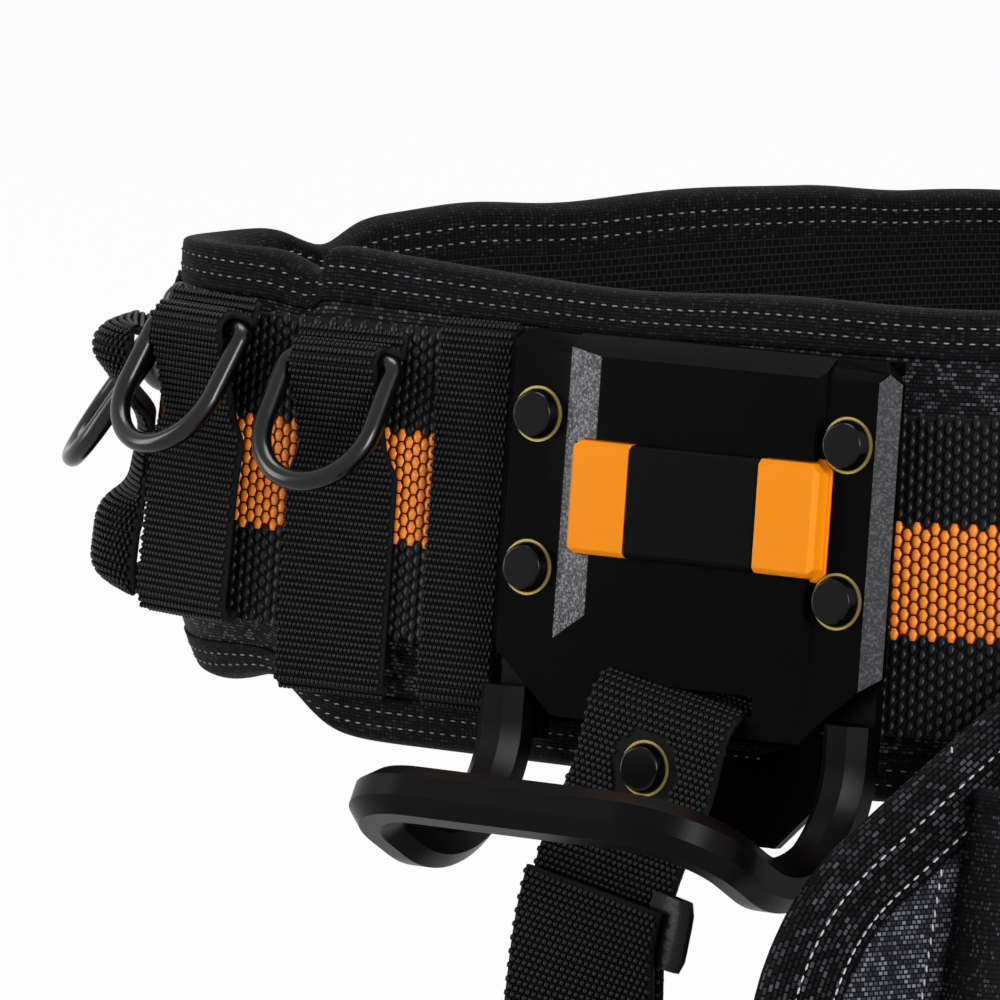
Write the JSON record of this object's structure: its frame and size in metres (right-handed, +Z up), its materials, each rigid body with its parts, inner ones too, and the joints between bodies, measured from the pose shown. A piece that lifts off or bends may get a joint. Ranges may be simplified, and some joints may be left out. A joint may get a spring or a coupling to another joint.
{
  "type": "tool belt",
  "caption": "Padded waist tool belt with an orange-striped webbing, swinging D-rings, a clip-on hammer loop with release buttons, a hung pouch and a side-release buckle.",
  "frame": {"origin": "middle of the padded loop's length, on its mirror plane, at the pad's lower edge", "axes": "+X along the loop's length from the back curve to the buckle, +Z up the pad"},
  "size_m": [0.4121, 0.3726, 0.2668],
  "materials": {
    "foam": "closed-cell foam, hidden",
    "cover_cloth": "coarse woven nylon, matt",
    "mesh": "three-dimensional spacer mesh, matt",
    "binding_tape": "ribbed tape with pale stitching",
    "waist_webbing": "black webbing with a woven orange stripe",
    "black_webbing": "heavy ribbed webbing, matt",
    "black_steel": "satin black coat",
    "orange_plastic": "semi-gloss orange",
    "rubber": "matt black",
    "brass": "dull olive brass",
    "rivet_steel": "satin black coat",
    "tag": "woven tag, bare",
    "heather_cloth": "charcoal heather weave",
    "pouch_cloth": "black coated weave, matt",
    "black_plastic": "moulded black, part textured"
  },
  "bodies": {
    "belt": {"foam_back": "foam", "foam_right": "foam", "foam_left": "foam", "outer_cover": "cover_cloth", "mesh_lining": "mesh", "top_binding": "binding_tape", "bottom_binding": "binding_tape", "end_bindings": "binding_tape", "waist_webbing": "waist_webbing", "ring_keeper_back": "black_webbing", "ring_keeper_right_inner": "black_webbing", "ring_keeper_right_outer": "black_webbing", "ring_keeper_left_inner": "black_webbing", "ring_keeper_left_outer": "black_webbing", "web_keeper_right": "black_webbing", "web_keeper_left": "black_webbing", "holder_face_plate": "black_plastic", "holder_back_clip": "black_plastic", "holder_spring_cover": "black_plastic", "holder_centre_block": "black_plastic", "button_bumpers": "rubber", "holder_washers": "brass", "holder_rivets": "rivet_steel", "hammer_loop": "black_steel", "retention_strap": "black_webbing", "strap_washer": "brass", "strap_rivet": "rivet_steel", "strap_tag": "tag", "pouch_back_panel": "heather_cloth", "pouch_binding": "binding_tape", "pouch_pocket": "pouch_cloth", "pouch_front_pocket": "pouch_cloth", "pouch_clip": "black_plastic", "pouch_rivets": "rivet_steel", "buckle_socket": "black_plastic", "buckle_plug": "black_plastic"},
    "ring_back": {"d_ring_back": "black_steel"},
    "ring_right_inner": {"d_ring_right_inner": "black_steel"},
    "ring_right_outer": {"d_ring_right_outer": "black_steel"},
    "ring_left_inner": {"d_ring_left_inner": "black_steel"},
    "ring_left_outer": {"d_ring_left_outer": "black_steel"},
    "button_left": {"release_button_left": "orange_plastic"},
    "button_right": {"release_button_right": "orange_plastic"},
    "latch_upper": {"latch_arm_upper": "black_plastic"},
    "latch_lower": {"latch_arm_lower": "black_plastic"}
  },
  "joints": [
    {"name": "ring_back_swing", "type": "hinge", "parent": "belt", "child": "ring_back", "pos_m": [-0.17051, -0.00406, 0.082], "axis": [-0.0872, 0.9962, 0], "range_deg": [-20, 75]},
    {"name": "ring_right_inner_swing", "type": "hinge", "parent": "belt", "child": "ring_right_inner", "pos_m": [-0.15552, -0.03283, 0.09143], "axis": [-0.722, 0.6919, 0], "range_deg": [-20, 75]},
    {"name": "ring_right_outer_swing", "type": "hinge", "parent": "belt", "child": "ring_right_outer", "pos_m": [-0.12184, -0.05489, 0.08697], "axis": [-0.8591, 0.5118, 0], "range_deg": [-20, 75]},
    {"name": "ring_left_inner_swing", "type": "hinge", "parent": "belt", "child": "ring_left_inner", "pos_m": [-0.15552, 0.03283, 0.09143], "axis": [0.722, 0.6919, 0], "range_deg": [-20, 75]},
    {"name": "ring_left_outer_swing", "type": "hinge", "parent": "belt", "child": "ring_left_outer", "pos_m": [-0.12184, 0.05489, 0.08697], "axis": [0.8591, 0.5118, 0], "range_deg": [-20, 75]},
    {"name": "button_left_press", "type": "slide", "parent": "belt", "child": "button_left", "axis": [0.508, 0.8527, -0.1219], "range_m": [0, 0.0025], "stiffness_N_per_m": 500},
    {"name": "button_right_press", "type": "slide", "parent": "belt", "child": "button_right", "axis": [0.508, 0.8527, -0.1219], "range_m": [0, 0.0025], "stiffness_N_per_m": 500},
    {"name": "latch_upper_squeeze", "type": "hinge", "parent": "belt", "child": "latch_upper", "pos_m": [0.16128, -0.0065, 0.07934], "axis": [-0.9925, 0, -0.1219], "range_deg": [0, 6], "stiffness_Nm_per_rad": 2},
    {"name": "latch_lower_squeeze", "type": "hinge", "parent": "belt", "child": "latch_lower", "pos_m": [0.16835, -0.0065, 0.02177], "axis": [0.9925, 0, 0.1219], "range_deg": [0, 6], "stiffness_Nm_per_rad": 2}
  ]
}
